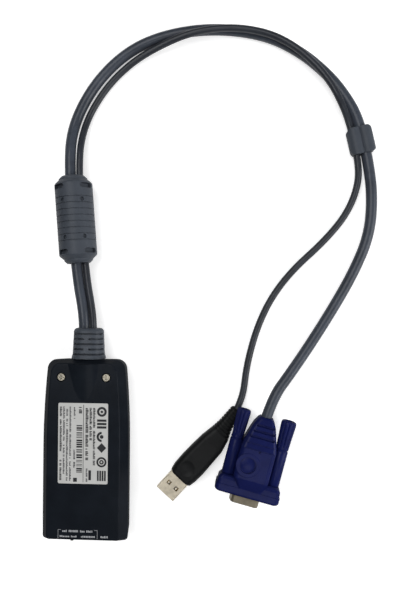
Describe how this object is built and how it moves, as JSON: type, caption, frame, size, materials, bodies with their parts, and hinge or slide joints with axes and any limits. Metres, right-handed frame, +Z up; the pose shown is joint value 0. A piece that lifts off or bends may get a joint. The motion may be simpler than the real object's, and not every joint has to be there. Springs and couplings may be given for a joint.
{
  "type": "kvm_dongle",
  "caption": "Keyboard, video and mouse dongle: dark moulded case with a network socket, two cords through a ferrite moulding and a clip, a blue video plug and a USB plug",
  "frame": {"origin": "On the resting surface, under the middle of the case's two covers", "axes": "+X across the case towards the side where the plugs lie, +Y from the network socket to the cord end, +Z up out of the label side"},
  "size_m": [0.1795, 0.2817, 0.0249],
  "materials": {
    "case": "moulded, fine satin gloss",
    "label": "printed film",
    "soft_grey": "soft moulding, matt",
    "cord_grey": "cord jacket, satin",
    "soft_black": "soft moulding, satin",
    "video_blue": "moulded, satin",
    "black_plastic": "moulded",
    "pale_plastic": "moulded",
    "nickel": "nickel plated",
    "tin": "tinned sheet",
    "gilt": "gilt contacts",
    "board": "lacquered board",
    "chip": "moulded package",
    "lamp": "clear lens",
    "wire": "insulated wires",
    "ferrite": "sintered ferrite"
  },
  "bodies": {
    "dongle": {"label_cover": "case", "face_cover": "case", "rating_label": "label", "case_screw_left": "nickel", "case_screw_right": "nickel", "circuit_board": "board", "jack_shield": "tin", "jack_housing": "black_plastic", "jack_contacts": "gilt", "switch_base": "black_plastic", "switch_frame": "tin", "link_light": "lamp", "main_chip": "chip", "memory_chip": "chip", "video_chip": "chip", "network_transformer": "chip", "crystal": "tin", "video_header": "pale_plastic", "usb_header": "pale_plastic", "video_wires": "wire", "usb_wires": "wire", "cord_boot": "soft_grey", "video_cord": "cord_grey", "usb_cord": "cord_grey", "ferrite_moulding": "soft_grey", "ferrite_core": "ferrite", "cord_clip": "soft_grey", "usb_overmould": "soft_black", "usb_shell": "nickel", "usb_tongue": "black_plastic", "usb_contacts": "gilt", "video_hood": "video_blue", "video_shell": "nickel", "video_insulator": "video_blue", "video_pins": "gilt"},
    "switch_knob": {"switch_slider": "black_plastic"},
    "thumbscrew_left": {"thumbscrew_grip_left": "video_blue", "thumbscrew_stud_left": "nickel"},
    "thumbscrew_right": {"thumbscrew_grip_right": "video_blue", "thumbscrew_stud_right": "nickel"}
  },
  "joints": [
    {"name": "switch_slide", "type": "slide", "parent": "dongle", "child": "switch_knob", "axis": [1, 0, 0], "range_m": [0, 0.002]},
    {"name": "thumbscrew_left_turn", "type": "hinge", "parent": "dongle", "child": "thumbscrew_left", "pos_m": [0.08016, 0.00203, 0.008], "axis": [0.2504, 0.9681, 0], "continuous": true},
    {"name": "thumbscrew_right_turn", "type": "hinge", "parent": "dongle", "child": "thumbscrew_right", "pos_m": [0.10436, -0.00422, 0.008], "axis": [0.2504, 0.9681, 0], "continuous": true}
  ]
}
